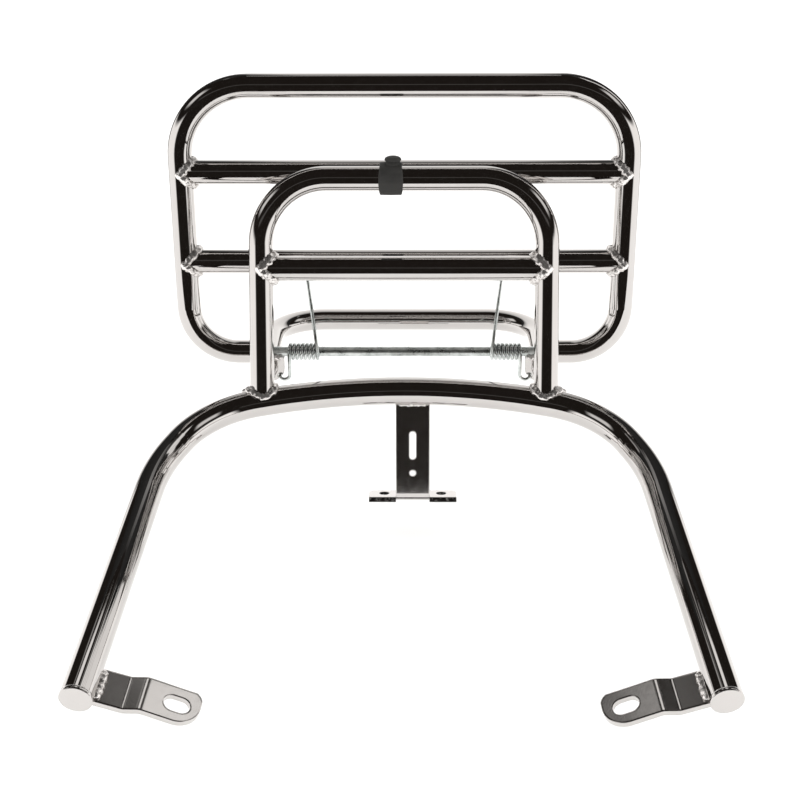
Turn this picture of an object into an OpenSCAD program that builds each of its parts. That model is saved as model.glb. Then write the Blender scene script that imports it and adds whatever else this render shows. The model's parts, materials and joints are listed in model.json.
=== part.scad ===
// Fold-down luggage rack for the tail of a motor scooter.
// X runs across the scooter, Y towards its rear and Z up, with the platform folded up.
// The origin lies midway between the two side slots.

/* [Base arch] */
// Outer diameter of the arch tube
arch_d = 16; // [14:0.5:19]
// Wall of the arch tube
arch_wall = 1.5; // [1:0.1:2.5]
// Slope of the arch's plane, down towards the front
arch_slope = 14; // [5:0.5:30]
// Radius of the shallow crown
crown_r = 307; // [260:1:400]
// Turn of the crown on each side of its middle
crown_turn = 16; // [14:0.5:18]
// Radius of the arch's shoulders
shoulder_r = 64; // [50:1:80]
// Turn of each shoulder
shoulder_turn = 50.5; // [45:0.5:56]
// Straight length between a shoulder and the sweep below it
shoulder_gap = 5.5; // [1:0.5:20]
// Radius of the sweep that leads into a leg
sweep_r = 115; // [80:1:160]
// Outward splay of the legs
leg_splay = 5; // [0:0.5:9]
// Straight length of each leg
leg_l = 146.5; // [110:0.5:180]
// Thickness of the discs that close the legs
cap_t = 2; // [1:0.25:4]

/* [Side brackets] */
// Width of the flat steel
flat_w = 20; // [16:0.5:24]
// Thickness of the flat steel
flat_t = 3; // [2:0.25:4]
// Roll of each bracket's inner flat, down towards the middle
bracket_roll = 17.5; // [0:0.5:30]
// Extra turn of the tab beyond the inner flat
tab_turn = 4.5; // [0:0.5:8]
// Depth of the inner flat's middle below the leg's axis
bracket_drop = 3.5; // [2:0.25:5]
// Distance from a leg's end to the bracket's edge
bracket_inset = 1.5; // [0.5:0.5:15]
// Distance from the leg's axis to the first fold
inner_flat_l = 21; // [16:0.5:30]
// Height of the step between the two flats
step_h = 3; // [2:0.25:6]
// Angle of the step
step_angle = 22; // [15:1:40]
// Bend radius at the middle of the sheet
fold_r = 4.5; // [3:0.25:8]
// Distance from the leg's axis to the tip of the tab
tab_tip = 57; // [50:0.5:70]
// Distance from the leg's axis to the middle of the slot
slot_at = 45.5; // [42:0.5:50]
// Width of the side slots
slot_w = 9; // [6:0.25:10]
// Length of the side slots, end to end
slot_l = 13; // [11:0.5:18]
// Corner radius of the tab on its front side
tab_front_r = 12; // [8:0.5:14]
// Corner radius of the tab on its rear side
tab_rear_r = 5; // [3:0.5:5.5]

/* [Centre bracket] */
// Sideways place of the centre bracket
strip_x = 5; // [-10:0.5:10]
// Width of the strip
strip_w = 20; // [16:0.5:26]
// Lean of the strip, rearward at its top
strip_lean = 10; // [0:1:15]
// Length of the strip, from the arch tube's underside to the foot's underside
strip_l = 59.5; // [50:0.5:75]
// Bend radius inside the foot's fold
foot_fold_r = 2; // [1:0.25:4]
// Width of the foot
foot_w = 52; // [44:0.5:60]
// Depth of the foot
foot_l = 14; // [12:0.5:20]
// Corner radius of the foot
foot_corner_r = 3.5; // [1:0.25:5]
// Distance between the foot's holes
foot_pitch = 34; // [32:0.2:38]
// Diameter of the foot's holes
foot_hole_d = 6; // [4:0.25:7]
// Distance from the foot's front face to its holes
foot_hole_y = 8; // [7:0.25:9]
// Width of the strip's slot
strip_slot_w = 3.75; // [3:0.25:6]
// Length of the strip's slot, end to end
strip_slot_l = 17; // [12:0.5:22]
// Distance from the arch tube to the top of the strip's slot
strip_slot_top = 16.5; // [10:0.5:18]
// Diameter of the strip's hole
strip_hole_d = 3.5; // [3:0.1:5]
// Distance from the arch tube to the strip's hole
strip_hole_at = 42; // [40:0.5:46]

/* [Fixed hoop] */
// Outer diameter of the hoop, support and platform tubes
tube_d = 14; // [12:0.5:15]
// Wall of those tubes
tube_wall = 1.5; // [1:0.1:2]
// Distance between the hoop's uprights, axis to axis
hoop_w = 164; // [150:1:170]
// Height of the hoop's top above the folded platform's upper crossbar
hoop_rise = 0.7; // [-2:0.1:3]
// Corner radius of the hoop at the tube's axis
hoop_r = 37.5; // [25:0.5:40]
// Distance of the hoop's crossbar below the hoop's top, along the hoop
hoop_bar_drop = 51; // [48:0.5:70]

/* [Hinge and support] */
// Distance of the hinge rod behind the arch's middle
rod_y = 41.6; // [36:0.2:50]
// Height of the hinge rod above the arch's middle
rod_z = 8.4; // [4:0.2:12]
// Diameter of the hinge rod
rod_d = 6; // [5:0.25:8]
// Reach of the support behind the hinge rod, to its axis
support_reach = 83.5; // [65:0.5:95]
// Corner radius of the support at the tube's axis
support_r = 32; // [20:1:35]
// Thickness of the spring lugs
lug_t = 3; // [2:0.25:4]
// Reach of a lug inward from the support leg's axis
lug_reach = 11.7; // [11:0.1:13]
// Large corner radius of a lug, at its inner end
lug_round = 8; // [4:0.5:9]
// Depth of a lug below the hinge rod's axis
lug_drop = 18.5; // [16:0.5:22]
// Depth of the lug's hole below the hinge rod's axis
lug_hole_drop = 15.2; // [13:0.2:16]
// Diameter of the lug's hole
lug_hole_d = 2.8; // [2.4:0.1:3.4]

/* [Platform] */
// Width of the platform between the axes of its sides
platform_w = 259; // [245:1:280]
// Height of the platform's top above the hinge rod
platform_h = 161.5; // [140:0.5:180]
// Upper corner radius at the tube's axis
top_r = 41; // [24:1:46]
// Lower corner radius at the tube's axis
bottom_r = 29; // [20:1:32]
// Height of the lower crossbar above the hinge rod
lower_bar_h = 57.5; // [50:0.5:70]
// Distance of the upper crossbar below the start of the top bends
upper_bar_drop = 9; // [9:0.5:15]
// Straight length of the platform's open ends
open_l = 7.5; // [6:0.5:14]
// Side clearance between the support and the platform's open ends
end_gap = 1; // [0.5:0.1:2]
// Length of the hinge bushes
bush_l = 7; // [4:0.5:7]
// Radial running clearance of the hinge
hinge_fit = 0.05; // [0.02:0.01:0.1]

/* [Springs] */
// Diameter of the spring wire
wire_d = 2.1; // [1.6:0.1:2.2]
// Mean radius of the coils
coil_r = 4.4; // [4.3:0.1:5.2]
// Pitch of the coils
coil_pitch = 2.5; // [2.25:0.05:2.8]
// Number of turns
coil_turns = 7; // [5:1:8]
// Distance from the support leg's axis to the outer end of a coil
coil_inset = 15; // [14:0.2:18]
// Outward lean of the long arms
arm_lean = 6; // [0:0.5:8]
// Radius of the bend under the crossbar
arm_bend_r = 3; // [2:0.25:4]
// Turn of the arm's end round the back of the crossbar
arm_wrap = 118; // [90:1:140]
// Radius of the short hooks
hook_r = 3.2; // [2.5:0.1:4]

/* [Rubber sleeve] */
// Sideways place of the sleeve
clip_x = -7.4; // [-20:0.2:20]
// Width of the sleeve
clip_w = 14; // [10:0.5:20]
// Wall of the sleeve
clip_wall = 2.2; // [1.5:0.1:3]
// Narrowing of the sleeve at its top and bottom, on each side
clip_bow = 0.8; // [0.2:0.1:1.5]
// Gap between the sleeve and the folded platform
rest_gap = 0.3; // [0.2:0.05:0.5]
// Sideways place of the pin from the sleeve's middle
pin_shift = 1.2; // [-3:0.2:3]
// Diameter of the boss under the pin
boss_d = 8; // [6:0.2:10]
// Height of the boss above the sleeve
boss_h = 1.2; // [0.5:0.1:2]
// Diameter of the pin's domed head
pin_head_d = 9.6; // [8:0.2:11]
// Height of the domed head
pin_head_h = 2.4; // [1.5:0.1:3]
// Diameter of the pin's shank
pin_d = 3; // [2:0.25:4]

/* [Joints between tubes] */
// Seating gap at coped ends
seat_gap = 0.15; // [0.05:0.05:0.3]
// Width of the weld beads
bead = 2.4; // [1.5:0.1:3]

/* [Hidden] */
$fn = 48;
overlap = 1;
seam_lap = 0.3;
seam_step = 0.01;
wire_lap = 0.1;

sweep_turn = 90 - crown_turn - shoulder_turn - leg_splay;
arch_steps = [
  [crown_r, -crown_turn],
  [shoulder_r, -shoulder_turn],
  [shoulder_gap],
  [sweep_r, -sweep_turn],
  [leg_l]
];

// Point and heading [x, y, angle] at the end of a run of straights [length] and bends [radius, angle]
function run_end(steps, i = 0, x = 0, y = 0, a = 0) =
  i == len(steps) ? [x, y, a]
  : len(steps[i]) == 1 ? run_end(steps, i + 1, x + steps[i][0] * cos(a), y + steps[i][0] * sin(a), a)
  : let (
      r = steps[i][0] * sign(steps[i][1]),
      b = a + steps[i][1]
    )
    run_end(steps, i + 1, x + r * (sin(b) - sin(a)), y + r * (cos(a) - cos(b)), b);

// A point of the arch's own plane, set in the sloping plane
function on_slope(p) = [
  p[0],
  p[1] * cos(arch_slope) - p[2] * sin(arch_slope),
  p[1] * sin(arch_slope) + p[2] * cos(arch_slope)
];

leg_end = run_end(arch_steps);
leg_dir = [cos(leg_end[2]), sin(leg_end[2]), 0];
leg_in = [sin(leg_end[2]), -cos(leg_end[2]), 0];
step_mid = (step_h - 2 * fold_r * (1 - cos(step_angle))) / sin(step_angle);
bracket_steps = [
  [inner_flat_l],
  [fold_r, step_angle],
  [step_mid],
  [fold_r, -step_angle - tab_turn]
];
tab_start = run_end(bracket_steps);
slot_rise = tab_start[1] - (slot_at - tab_start[0]) * tan(tab_turn) - bracket_drop;
flat_dir = leg_in * cos(bracket_roll) - [0, 0, sin(bracket_roll)];
flat_up = [0, 0, cos(bracket_roll)] + leg_in * sin(bracket_roll);
slot_point = on_slope(
  [leg_end[0], leg_end[1], 0]
  - leg_dir * (bracket_inset + flat_w / 2)
  + flat_dir * slot_at
  + flat_up * slot_rise
);
origin = [0, slot_point[1], slot_point[2]];

// Point and heading [x, y, angle] of the arch's axis at x, in the arch's own plane
crown_x = crown_r * sin(crown_turn);
shoulder_x = (crown_r - shoulder_r) * sin(crown_turn);
shoulder_y = (crown_r - shoulder_r) * cos(crown_turn) - crown_r;
function arch_at(x) =
  x < crown_x ? [x, sqrt(pow(crown_r, 2) - pow(x, 2)) - crown_r, -asin(x / crown_r)]
  : let (u = x - shoulder_x)
    [x, shoulder_y + sqrt(pow(shoulder_r, 2) - pow(u, 2)), -asin(u / shoulder_r)];

// How far the arch's axis bends away from its tangent at x, within a reach along X
function bow_to(p, q) = abs((q[0] - p[0]) * sin(p[2]) - (q[1] - p[1]) * cos(p[2]));
function arch_bow(x, reach) =
  max(bow_to(arch_at(x), arch_at(x + reach)), bow_to(arch_at(x), arch_at(abs(x - reach))));

platform_open_x = platform_w / 2 - bottom_r - open_l;
support_w = 2 * platform_open_x - tube_d - 2 * end_gap;
support_z = rod_z - (rod_d + tube_d) / 2;
support_root = on_slope([support_w / 2, arch_at(support_w / 2)[1], 0]);
support_side = support_reach + rod_y - support_r - support_root[1];
upper_bar_h = platform_h - top_r - upper_bar_drop;
hoop_foot = on_slope([hoop_w / 2, arch_at(hoop_w / 2)[1], 0]);
hoop_top_y = rod_y - tube_d - seat_gap - clip_wall - rest_gap;
hoop_top_z = rod_z + upper_bar_h + hoop_rise;
hoop_lean = atan2(hoop_top_y - hoop_foot[1], hoop_top_z - hoop_foot[2]);
hoop_h = (hoop_top_z - hoop_foot[2]) / cos(hoop_lean);
hoop_bar_h = hoop_h - hoop_bar_drop;
coil_end = support_w / 2 - coil_inset;
coil_start = coil_end - coil_turns * coil_pitch;
flat_start = 3;

module in_frame() {
  translate(-origin) children();
}

module both_sides() {
  children();
  mirror([1, 0, 0]) children();
}

// A section carried along straights [length] and bends [radius, angle, roll], starting along X.
// With a lap, every second stretch has the second, slightly thinner section and reaches into its
// neighbours by the lap.
module run(steps, lap = 0, i = 0) {
  if (i < len(steps)) {
    s = steps[i];
    reach = i % 2 * lap;
    if (len(s) == 1) {
      translate([-reach, 0, 0]) rotate([90, 0, 90]) linear_extrude(s[0] + 2 * reach)
        children(i % 2 * ($children - 1));
      translate([s[0], 0, 0]) run(steps, lap, i + 1) {
        children(0);
        children($children - 1);
      }
    } else {
      side = sign(s[1]);
      more = reach / s[0] * 180 / PI;
      rotate([len(s) == 3 ? s[2] : 0, 0, 0]) {
        mirror([0, side < 0 ? 1 : 0, 0])
          translate([0, s[0], 0])
            rotate([0, 0, -90 - more])
              rotate_extrude(angle = abs(s[1]) + 2 * more)
                translate([s[0], 0]) children(i % 2 * ($children - 1));
        translate([0, side * s[0], 0])
          rotate([0, 0, s[1]])
            translate([0, -side * s[0], 0])
              run(steps, lap, i + 1) {
                children(0);
                children($children - 1);
              }
      }
    }
  }
}

module ring(d, wall) {
  difference() {
    circle(d = d);
    circle(d = d - 2 * wall);
  }
}

module along_x(d, l) {
  rotate([0, 90, 0]) cylinder(d = d, h = l, center = true);
}

// Places of the sub-assemblies

module in_slope() {
  rotate([arch_slope, 0, 0]) children();
}

module in_hoop() {
  translate([0, hoop_foot[1], hoop_foot[2]])
    rotate([90 - hoop_lean, 0, 0]) children();
}

module in_platform() {
  translate([0, rod_y, rod_z]) rotate([90, 0, 0]) children();
}

module at_leg_end() {
  in_slope() translate([leg_end[0], leg_end[1], 0]) rotate([0, 0, leg_end[2]]) children();
}

module in_bracket() {
  at_leg_end()
    translate([-bracket_inset - flat_w / 2, 0, 0])
      rotate([90, 0, -90])
        rotate([0, 0, -bracket_roll]) children();
}

module in_strip() {
  translate([strip_x, 0, 0])
    rotate([-strip_lean, 0, 0])
      translate([0, 0, -arch_d / 2]) children();
}

// Outsides of the tubes, used to fit one to another

// The arch's tube taken as straight where a hoop meets it
module arch_near(x, grow = 0) {
  in_slope() translate([x, arch_at(x)[1], 0])
    rotate([0, 0, arch_at(x)[2]]) along_x(arch_d + 2 * grow, 3 * tube_d);
}

// The same, with room for the arch's bow under a tube or a weld bead
module arch_seat(x, reach = tube_d / 2) {
  arch_near(x, seat_gap / 2 + arch_bow(x, reach));
}

module leg_solid(grow = 0) {
  at_leg_end()
    rotate([0, -90, 0]) cylinder(d = arch_d + 2 * grow, h = leg_l);
}

module upright_solid(grow = 0) {
  in_hoop() translate([hoop_w / 2, 0, 0])
    rotate([-90, 0, 0]) cylinder(d = tube_d + 2 * grow, h = hoop_h - hoop_r);
}

module support_leg_solid(grow = 0) {
  translate([support_w / 2, support_root[1], support_z])
    rotate([-90, 0, 0]) cylinder(d = tube_d + 2 * grow, h = support_side);
}

module platform_side_solid(grow = 0) {
  in_platform() translate([platform_w / 2, bottom_r, 0])
    rotate([-90, 0, 0]) cylinder(d = tube_d + 2 * grow, h = platform_h - bottom_r);
}

module rod_solid(grow = 0) {
  translate([0, rod_y, rod_z]) along_x(rod_d + 2 * grow, 2 * (platform_open_x + bush_l));
}

module hoop_bar_solid(grow = 0) {
  in_hoop() translate([0, hoop_bar_h, 0]) along_x(tube_d + 2 * grow, hoop_w);
}

module platform_bar_solid(h, grow = 0) {
  in_platform() translate([0, h, 0]) along_x(tube_d + 2 * grow, platform_w);
}

// Base arch and its fixings

module base_arch() {
  color("gainsboro") in_frame() in_slope() both_sides() run(arch_steps, seam_lap) {
    ring(arch_d, arch_wall);
    ring(arch_d - 2 * seam_step, arch_wall - 2 * seam_step);
  }
}

module end_cap() {
  at_leg_end() rotate([0, 90, 0]) cylinder(d = arch_d, h = cap_t);
}

module end_cap_right() {
  color("silver") in_frame() end_cap();
}

module end_cap_left() {
  color("silver") in_frame() mirror([1, 0, 0]) end_cap();
}

// Outline of a side bracket seen square to its flats, with a large front corner
module bracket_outline() {
  start = flat_start - overlap;
  difference() {
    union() {
      translate([start, -flat_w / 2]) square([tab_tip - tab_front_r - start, flat_w]);
      translate([tab_tip - tab_front_r - overlap, tab_front_r - flat_w / 2])
        square([tab_front_r + overlap, flat_w - tab_front_r - tab_rear_r]);
      translate([tab_tip - tab_front_r - overlap, flat_w / 2 - tab_rear_r - overlap])
        square([tab_front_r - tab_rear_r + overlap, tab_rear_r + overlap]);
      intersection() {
        translate([tab_tip - tab_front_r, tab_front_r - flat_w / 2]) circle(r = tab_front_r);
        translate([start, -flat_w / 2]) square([tab_tip, flat_w]);
      }
      translate([tab_tip - tab_rear_r, flat_w / 2 - tab_rear_r]) circle(r = tab_rear_r);
    }
    slot_2d([slot_at, 0], slot_w, slot_l);
  }
}

module slot_2d(at, w, l) {
  translate(at) {
    square([l - w, w], center = true);
    for (side = [-1, 1]) translate([side * (l - w) / 2, 0]) circle(d = w);
  }
}

module side_bracket() {
  difference() {
    intersection() {
      in_bracket() translate([0, -bracket_drop, 0])
        run(concat(bracket_steps, [[tab_tip - tab_start[0] + overlap]]), seam_lap) {
          square([flat_t, flat_w + 2 * overlap], center = true);
          square([flat_t - 2 * seam_step, flat_w + overlap], center = true);
        }
      in_bracket() rotate([90, 0, 0]) linear_extrude(arch_d * 2, center = true) bracket_outline();
    }
    leg_solid(seat_gap);
  }
}

module side_bracket_right() {
  color("darkgray") in_frame() side_bracket();
}

module side_bracket_left() {
  color("darkgray") in_frame() mirror([1, 0, 0]) side_bracket();
}

// One folded sheet: a strip down from the arch and a wide foot turned rearward
module centre_bracket() {
  mid_r = foot_fold_r + flat_t / 2;
  color("dimgray") in_frame() difference() {
    in_strip() {
      difference() {
        translate([-strip_w / 2, -flat_t / 2, -strip_l + mid_r + flat_t / 2])
          cube([strip_w, flat_t, strip_l - mid_r - flat_t / 2 + arch_d / 2]);
        translate([0, 0, -strip_slot_top - strip_slot_l / 2])
          rotate([90, 90, 0]) linear_extrude(2 * flat_t, center = true)
            slot_2d([0, 0], strip_slot_w, strip_slot_l);
        translate([0, 0, -strip_hole_at])
          rotate([90, 0, 0]) cylinder(d = strip_hole_d, h = 2 * flat_t, center = true);
      }
      translate([-strip_w / 2, mid_r, -strip_l + mid_r + flat_t / 2])
        rotate([0, 90, 0]) rotate([0, 0, -90])
          rotate_extrude(angle = 90) translate([mid_r, strip_w / 2]) square([flat_t, strip_w], center = true);
      foot();
    }
    arch_seat(strip_x, strip_w / 2);
  }
}

module foot() {
  wing = (foot_w - strip_w) / 2;
  mid_r = foot_fold_r + flat_t / 2;
  difference() {
    translate([0, -flat_t / 2, -strip_l]) {
      translate([-strip_w / 2, mid_r + flat_t / 2, 0])
        cube([strip_w, foot_l - mid_r - flat_t / 2, flat_t]);
      for (side = [-1, 1]) linear_extrude(flat_t) foot_wing(side, wing);
    }
    for (side = [-1, 1])
      translate([side * foot_pitch / 2, foot_hole_y - flat_t / 2, -strip_l - overlap])
        cylinder(d = foot_hole_d, h = flat_t + 2 * overlap);
  }
}

module foot_wing(side, wing) {
  r = foot_corner_r;
  x = foot_w / 2;
  mirror([side < 0 ? 1 : 0, 0]) {
    translate([x - wing, 0]) square([wing - r, foot_l]);
    translate([x - r, 0]) square([r, foot_l - r]);
    translate([x - r, foot_l - r]) circle(r = r);
  }
}

// Fixed hoop and support behind the arch

module fixed_hoop() {
  color("gainsboro") in_frame() difference() {
    in_hoop() both_sides() translate([0, hoop_h, 0])
      run([
        [hoop_w / 2 - hoop_r],
        [hoop_r, -90],
        [hoop_h - hoop_r]
      ]) ring(tube_d, tube_wall);
    both_sides() arch_seat(hoop_w / 2);
  }
}

module hoop_crossbar() {
  color("gainsboro") in_frame() difference() {
    in_hoop() translate([-hoop_w / 2, hoop_bar_h, 0]) run([[hoop_w]]) ring(tube_d, tube_wall);
    both_sides() upright_solid(seat_gap);
  }
}

module support_hoop() {
  color("gainsboro") in_frame() difference() {
    both_sides() translate([0, rod_y + support_reach, support_z])
      run([
        [support_w / 2 - support_r],
        [support_r, -90],
        [support_side]
      ]) ring(tube_d, tube_wall);
    both_sides() arch_seat(support_w / 2);
    both_sides() upright_solid(seat_gap);
  }
}

// Small plate across the support's leg, with a hole for the spring's hook
module spring_lug() {
  outer_r = lug_reach - lug_round;
  left = support_w / 2 - lug_reach;
  low = rod_z - lug_drop;
  top = rod_z - rod_d / 2 - seat_gap;
  difference() {
    translate([0, rod_y + lug_t / 2, 0]) rotate([90, 0, 0]) linear_extrude(lug_t) difference() {
      union() {
        translate([left, low + lug_round]) square([lug_reach, top - low - lug_round]);
        translate([left + lug_round, low + outer_r]) square([outer_r, lug_round - outer_r + overlap]);
        intersection() {
          translate([left + lug_round, low + lug_round]) circle(r = lug_round);
          translate([left, low]) square([lug_round, lug_round + overlap]);
        }
        intersection() {
          translate([left + lug_round, low + outer_r]) circle(r = outer_r);
          translate([left + lug_round - overlap, low]) square([lug_reach, lug_round]);
        }
      }
      translate([hook_x, rod_z - lug_hole_drop]) circle(d = lug_hole_d);
    }
    support_leg_solid(seat_gap);
  }
}

module spring_lug_right() {
  color("silver") in_frame() spring_lug();
}

module spring_lug_left() {
  color("silver") in_frame() mirror([1, 0, 0]) spring_lug();
}

module hinge_rod() {
  color("darkgray") in_frame() rod_solid();
}

// Torsion springs

hook_turn = 120;
hook_end_r = 1.6;
hook_drop = lug_hole_drop - hook_r * sin(hook_turn) - hook_end_r * cos(hook_turn);
hook_x = coil_end + hook_r * (1 - cos(hook_turn)) + hook_end_r * sin(hook_turn);
hook_tail = coil_r - hook_end_r + lug_t / 2 + overlap;
bar_wrap_r = (tube_d + wire_d) / 2 + rest_gap;
arm_centre = bar_wrap_r + arm_bend_r;
arm_bend_y = arm_bend_r - coil_r;
arm_drop = sqrt(pow(arm_centre, 2) - pow(arm_bend_y, 2));
arm_turn = 90 + asin(-arm_bend_y / arm_centre);

// Half a turn round X through the top, lapping its neighbours or not
module half_turn(lap = 0) {
  quarter = coil_pitch / 4;
  r = sqrt(pow(coil_r, 2) + pow(quarter, 2));
  more = lap / r * 180 / PI;
  translate([quarter, 0, 0])
    rotate([90, 0, 0])
      rotate([0, -atan(quarter / coil_r), 0])
        rotate([0, 0, 180])
          rotate([0, -90, 0])
            rotate([0, 0, -more])
              rotate_extrude(angle = 180 + 2 * more)
                translate([r, 0]) circle(d = wire_d - (lap > 0 ? 2 * seam_step : 0));
}

module spring() {
  translate([0, rod_y, rod_z]) {
    for (i = [0 : coil_turns - 1])
      translate([coil_start + i * coil_pitch, 0, 0]) {
        half_turn();
        translate([coil_pitch / 2, 0, 0]) rotate([180, 0, 0]) half_turn(wire_lap);
      }
    translate([coil_start, -coil_r, 0]) {
      sphere(d = wire_d + 2 * seam_step);
      rotate([0, arm_lean, 0]) rotate([0, -90, 0]) run([
        [lower_bar_h / cos(arm_lean) - arm_drop],
        [arm_bend_r, arm_turn, 0],
        [bar_wrap_r, -arm_wrap, 0]
      ], wire_lap) {
        circle(d = wire_d);
        circle(d = wire_d - 2 * seam_step);
      }
    }
    translate([coil_end, -coil_r, 0])
      rotate([0, 90, 0]) run([
        [hook_drop],
        [hook_r, hook_turn, 90],
        [hook_end_r, -90, 90],
        [hook_tail]
      ], wire_lap) {
        circle(d = wire_d);
        circle(d = wire_d - 2 * seam_step);
      }
  }
}

module spring_right() {
  color("lightsteelblue") in_frame() spring();
}

module spring_left() {
  color("lightsteelblue") in_frame() mirror([1, 0, 0]) spring();
}

// Rubber sleeve on the hoop's top that the folded platform rests against, with its pin

module in_sleeve() {
  translate([clip_x, hoop_top_y, hoop_top_z]) children();
}

module pin_place() {
  in_sleeve() translate([pin_shift, 0, tube_d / 2 + seat_gap + clip_wall + boss_h]) children();
}

module retaining_clip() {
  outer_r = tube_d / 2 + seat_gap + clip_wall;
  side_r = (pow(outer_r, 2) + pow(clip_bow, 2)) / (2 * clip_bow);
  color([0.12, 0.12, 0.12]) in_frame() difference() {
    union() {
      in_sleeve() intersection() {
        along_x(2 * outer_r, clip_w);
        rotate([90, 0, 0]) linear_extrude(3 * outer_r, center = true) intersection() {
          translate([side_r - clip_w / 2, 0]) circle(r = side_r);
          translate([clip_w / 2 - side_r, 0]) circle(r = side_r);
        }
      }
      pin_place() translate([0, 0, -boss_h - clip_wall / 2]) cylinder(d = boss_d, h = boss_h + clip_wall / 2);
    }
    in_sleeve() along_x(tube_d + 2 * seat_gap, 2 * clip_w);
    pin_place() cylinder(d = pin_d, h = 4 * clip_wall, center = true);
  }
}

module clip_pin() {
  dome_r = (pow(pin_head_d / 2, 2) + pow(pin_head_h, 2)) / (2 * pin_head_h);
  color([0.1, 0.1, 0.1]) in_frame() pin_place() {
    intersection() {
      translate([0, 0, pin_head_h - dome_r]) sphere(r = dome_r);
      cylinder(d = pin_head_d, h = pin_head_h);
    }
    translate([0, 0, -boss_h - clip_wall]) cylinder(d = pin_d, h = boss_h + clip_wall + overlap);
  }
}

// Folding platform

module platform_loop() {
  color("gainsboro") in_frame() in_platform() both_sides() translate([0, platform_h, 0])
    run([
      [platform_w / 2 - top_r],
      [top_r, -90],
      [platform_h - top_r - bottom_r],
      [bottom_r, -90],
      [platform_w / 2 - bottom_r - platform_open_x]
    ]) ring(tube_d, tube_wall);
}

module platform_bar(h) {
  color("gainsboro") in_frame() difference() {
    in_platform() translate([-platform_w / 2, h, 0]) run([[platform_w]]) ring(tube_d, tube_wall);
    both_sides() platform_side_solid(seat_gap);
  }
}

module lower_crossbar() {
  platform_bar(lower_bar_h);
}

module upper_crossbar() {
  platform_bar(upper_bar_h);
}

module hinge_bush() {
  translate([platform_open_x, rod_y, rod_z])
    rotate([0, 90, 0]) difference() {
      cylinder(d = tube_d - 2 * tube_wall, h = bush_l);
      translate([0, 0, -overlap]) cylinder(d = rod_d + 2 * hinge_fit, h = bush_l + 2 * overlap);
    }
}

module hinge_bush_right() {
  color("black") in_frame() hinge_bush();
}

module hinge_bush_left() {
  color("black") in_frame() mirror([1, 0, 0]) hinge_bush();
}

// Weld beads: what lies within a bead's width of both members and outside both of them

module hoop_foot_welds() {
  color("lightgray") in_frame() both_sides() difference() {
    intersection() {
      upright_solid(bead);
      arch_near(hoop_w / 2, bead);
    }
    upright_solid();
    arch_seat(hoop_w / 2, tube_d / 2 + bead);
    support_leg_solid(bead);
  }
}

module hoop_bar_welds() {
  color("lightgray") in_frame() both_sides() difference() {
    intersection() {
      upright_solid(bead);
      hoop_bar_solid(bead);
    }
    upright_solid();
    hoop_bar_solid();
  }
}

module support_welds() {
  color("lightgray") in_frame() both_sides() difference() {
    intersection() {
      support_leg_solid(bead);
      arch_near(support_w / 2, bead);
    }
    support_leg_solid();
    arch_seat(support_w / 2, tube_d / 2 + bead);
    upright_solid();
  }
}

module rod_welds() {
  color("lightgray") in_frame() both_sides() difference() {
    intersection() {
      support_leg_solid(bead);
      rod_solid(bead);
    }
    support_leg_solid();
    rod_solid();
    spring_lug();
    translate([platform_open_x, rod_y - tube_d, rod_z - tube_d]) cube(2 * tube_d);
  }
}

module side_bracket_welds() {
  color("lightgray") in_frame() both_sides() difference() {
    in_bracket() translate([arch_d / 2 + bead / 2, flat_t / 2 - bracket_drop, 0])
      cylinder(r = bead, h = flat_w - 2 * bead, center = true);
    leg_solid();
    side_bracket();
  }
}

module centre_bracket_weld() {
  color("lightgray") in_frame() difference() {
    intersection() {
      arch_near(strip_x, bead);
      in_strip() cube([strip_w - bead, flat_t + 2 * bead, arch_d], center = true);
    }
    in_strip() cube([strip_w + overlap, flat_t, 2 * arch_d], center = true);
    arch_seat(strip_x, strip_w / 2);
  }
}

module platform_welds() {
  color("lightgray") in_frame() both_sides()
    for (h = [lower_bar_h, upper_bar_h])
      difference() {
        intersection() {
          platform_side_solid(bead);
          platform_bar_solid(h, bead);
        }
        platform_side_solid();
        platform_bar_solid(h);
      }
}

base_arch();
end_cap_left();
end_cap_right();
side_bracket_left();
side_bracket_right();
centre_bracket();
fixed_hoop();
hoop_crossbar();
support_hoop();
spring_lug_left();
spring_lug_right();
hinge_rod();
spring_left();
spring_right();
retaining_clip();
clip_pin();
platform_loop();
lower_crossbar();
upper_crossbar();
hinge_bush_left();
hinge_bush_right();
hoop_foot_welds();
hoop_bar_welds();
support_welds();
rod_welds();
side_bracket_welds();
centre_bracket_weld();
platform_welds();
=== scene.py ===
import json
import math
import random

import bpy
import mathutils
from mathutils import Matrix, Vector


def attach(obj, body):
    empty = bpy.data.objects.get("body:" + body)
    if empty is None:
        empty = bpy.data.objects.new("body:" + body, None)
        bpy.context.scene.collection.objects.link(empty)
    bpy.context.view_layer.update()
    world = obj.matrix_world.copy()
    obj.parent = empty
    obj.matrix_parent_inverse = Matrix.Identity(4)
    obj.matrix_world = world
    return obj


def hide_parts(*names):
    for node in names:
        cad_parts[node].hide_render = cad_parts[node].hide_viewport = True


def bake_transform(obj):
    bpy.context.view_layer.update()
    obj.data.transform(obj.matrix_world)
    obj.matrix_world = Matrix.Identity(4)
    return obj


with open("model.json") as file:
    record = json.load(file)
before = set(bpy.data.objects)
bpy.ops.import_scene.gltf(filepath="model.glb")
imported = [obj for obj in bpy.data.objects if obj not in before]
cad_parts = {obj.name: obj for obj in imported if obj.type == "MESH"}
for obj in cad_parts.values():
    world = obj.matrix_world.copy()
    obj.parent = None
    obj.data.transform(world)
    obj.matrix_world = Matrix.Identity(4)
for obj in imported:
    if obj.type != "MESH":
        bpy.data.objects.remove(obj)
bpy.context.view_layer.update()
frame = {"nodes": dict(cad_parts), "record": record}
nodes = frame["nodes"]
mm = 0.001
print("rack frame loaded:", len(nodes), "nodes")

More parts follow.
